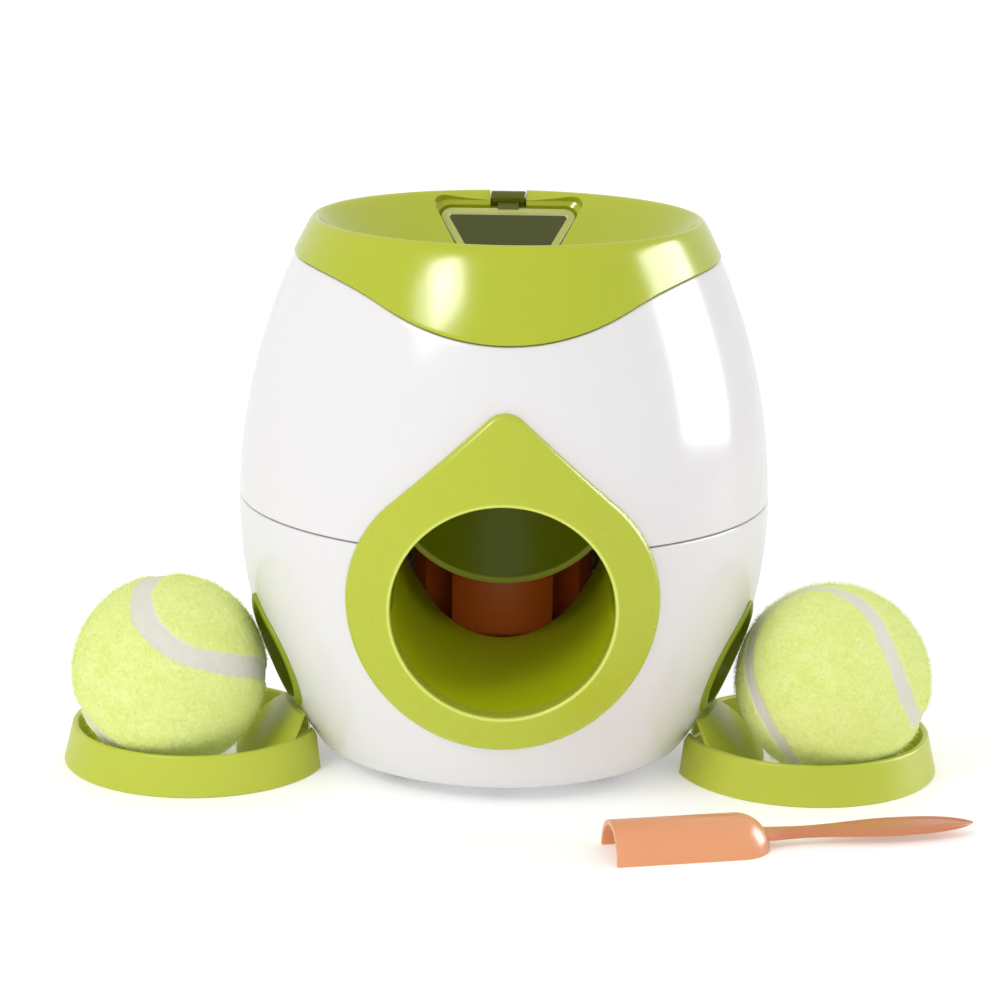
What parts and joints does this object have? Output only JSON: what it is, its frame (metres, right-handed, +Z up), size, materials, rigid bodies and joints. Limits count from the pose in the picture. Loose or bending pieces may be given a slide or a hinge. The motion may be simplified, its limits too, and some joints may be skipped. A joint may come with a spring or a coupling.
{
  "type": "dog ball and treat machine",
  "caption": "Barrel-shaped pet toy with a funnel top, round front mouth, treat rotor, side trays with balls and a scoop.",
  "frame": {"origin": "on the floor, on the barrel's axis", "axes": "+Z up along the barrel's axis, -Y out of the front mouth, +X towards the tray on the right of someone who faces the mouth"},
  "size_m": [0.2959, 0.2051, 0.183],
  "materials": {
    "shell_white": "moulded, high gloss",
    "lime_green": "moulded, high gloss",
    "dark_green": "moulded, satin",
    "smoky_clear": "clear moulded, polished",
    "rotor_orange": "moulded, satin gloss",
    "scoop_orange": "moulded, high gloss",
    "inner_grey": "moulded, as cast",
    "screw_steel": "zinc plated",
    "foot_rubber": "matt",
    "core_rubber": "matt",
    "ball_felt": "napped felt"
  },
  "bodies": {
    "housing": {"base_plate": "shell_white", "rubber_feet": "foot_rubber", "lower_shell": "shell_white", "upper_shell": "shell_white", "top_funnel": "lime_green", "hatch_pin": "screw_steel", "front_bezel": "lime_green", "drop_tube": "dark_green", "ball_trough": "lime_green", "treat_hopper": "inner_grey", "rotor_deck": "inner_grey", "rotor_axle": "screw_steel", "rotor_washer": "screw_steel", "rotor_screw": "screw_steel", "base_screws": "screw_steel", "leg_screws": "screw_steel", "shell_screws": "screw_steel", "funnel_screws": "screw_steel", "port_bezel_right": "lime_green", "port_bezel_left": "lime_green", "treat_chute_right": "dark_green", "treat_chute_left": "dark_green"},
    "hatch": {"hatch_door": "smoky_clear"},
    "rotor": {"treat_rotor": "rotor_orange"},
    "tray_right": {"tray_right": "lime_green"},
    "tray_left": {"tray_left": "lime_green"},
    "ball_right": {"ball_core_right": "core_rubber", "ball_felt_right": "ball_felt"},
    "ball_left": {"ball_core_left": "core_rubber", "ball_felt_left": "ball_felt"},
    "scoop": {"scoop": "scoop_orange"}
  },
  "joints": [
    {"name": "hatch_hinge", "type": "hinge", "parent": "housing", "child": "hatch", "pos_m": [0, 0.06126, 0.1796], "axis": [-1, 0, 0], "range_deg": [0, 120]},
    {"name": "rotor_spin", "type": "hinge", "parent": "housing", "child": "rotor", "pos_m": [0, 0.0392, 0.045], "axis": [0, 0, 1], "continuous": true},
    {"name": "tray_right_pull", "type": "slide", "parent": "housing", "child": "tray_right", "axis": [0.9744, -0.225, 0], "range_m": [0, 0.06]},
    {"name": "tray_left_pull", "type": "slide", "parent": "housing", "child": "tray_left", "axis": [-0.9744, -0.225, 0], "range_m": [0, 0.06]},
    {"name": "ball_right_lift", "type": "slide", "parent": "tray_right", "child": "ball_right", "axis": [0.6207, -0.1432, 0.7709], "range_m": [0, 0.06]},
    {"name": "ball_left_lift", "type": "slide", "parent": "tray_left", "child": "ball_left", "axis": [-0.6207, -0.1432, 0.7709], "range_m": [0, 0.06]},
    {"name": "scoop_lift", "type": "slide", "parent": "housing", "child": "scoop", "axis": [0, 0, 1], "range_m": [0, 0.06]}
  ]
}
